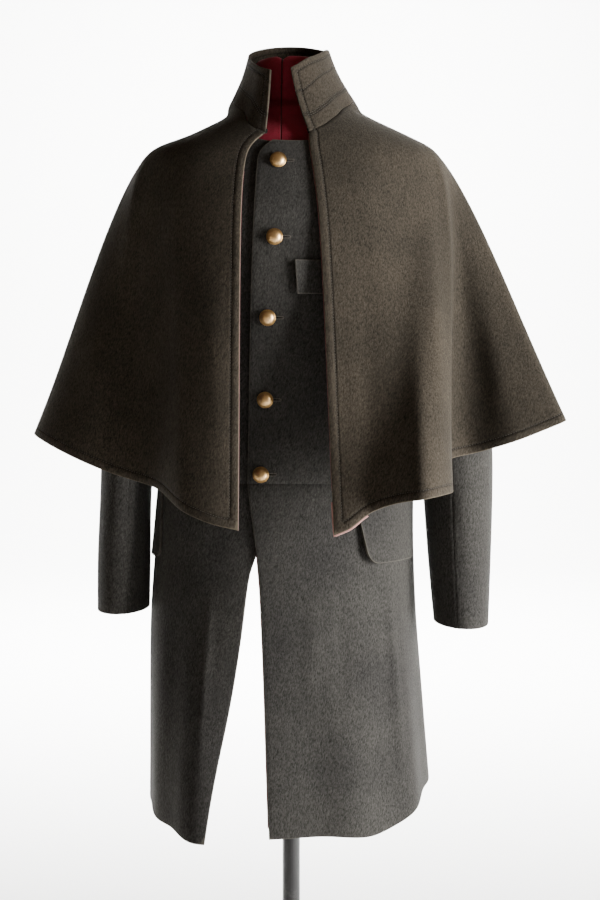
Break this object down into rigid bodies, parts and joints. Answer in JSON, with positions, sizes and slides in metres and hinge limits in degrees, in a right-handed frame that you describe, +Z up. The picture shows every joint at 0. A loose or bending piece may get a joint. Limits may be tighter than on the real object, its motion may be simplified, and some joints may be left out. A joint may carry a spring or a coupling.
{
  "type": "military overcoat on a dress form",
  "caption": "Long wool military overcoat with a shoulder cape, tall stand collar and domed brass buttons, on a limbless dress form with a round foot.",
  "frame": {"origin": "on the floor, in the middle of the stand's round foot", "axes": "+Z up along the pole; the coat's front faces -Y; the wearer's left side is +X"},
  "size_m": [0.72, 0.465, 1.4746],
  "materials": {
    "coat wool": "fulled wool melton, matte with a short nap",
    "lining satin": "smooth woven lining with a low sheen",
    "brass": "polished, a little worn",
    "form jersey": "matte knitted cover",
    "stand paint": "semi-gloss paint"
  },
  "bodies": {
    "root": {"front_left": "coat wool", "front_right": "coat wool", "back_left": "coat wool", "back_right": "coat wool", "skirt_front_left": "coat wool", "skirt_front_right": "coat wool", "skirt_back_left": "coat wool", "skirt_back_right": "coat wool", "sleeve_top_left": "coat wool", "sleeve_under_left": "coat wool", "sleeve_top_right": "coat wool", "sleeve_under_right": "coat wool", "cape_left": "coat wool", "cape_right": "coat wool", "collar": "coat wool", "breast_welt": "coat wool", "flap_left": "coat wool", "flap_right": "coat wool", "cape_lining_left": "lining satin", "cape_lining_right": "lining satin", "skirt_lining_left": "lining satin", "button_1": "brass", "button_2": "brass", "button_3": "brass", "button_4": "brass", "button_5": "brass", "form_torso": "form jersey", "form_neck": "form jersey", "stand_pole": "stand paint", "stand_foot": "stand paint"}
  },
  "joints": []
}
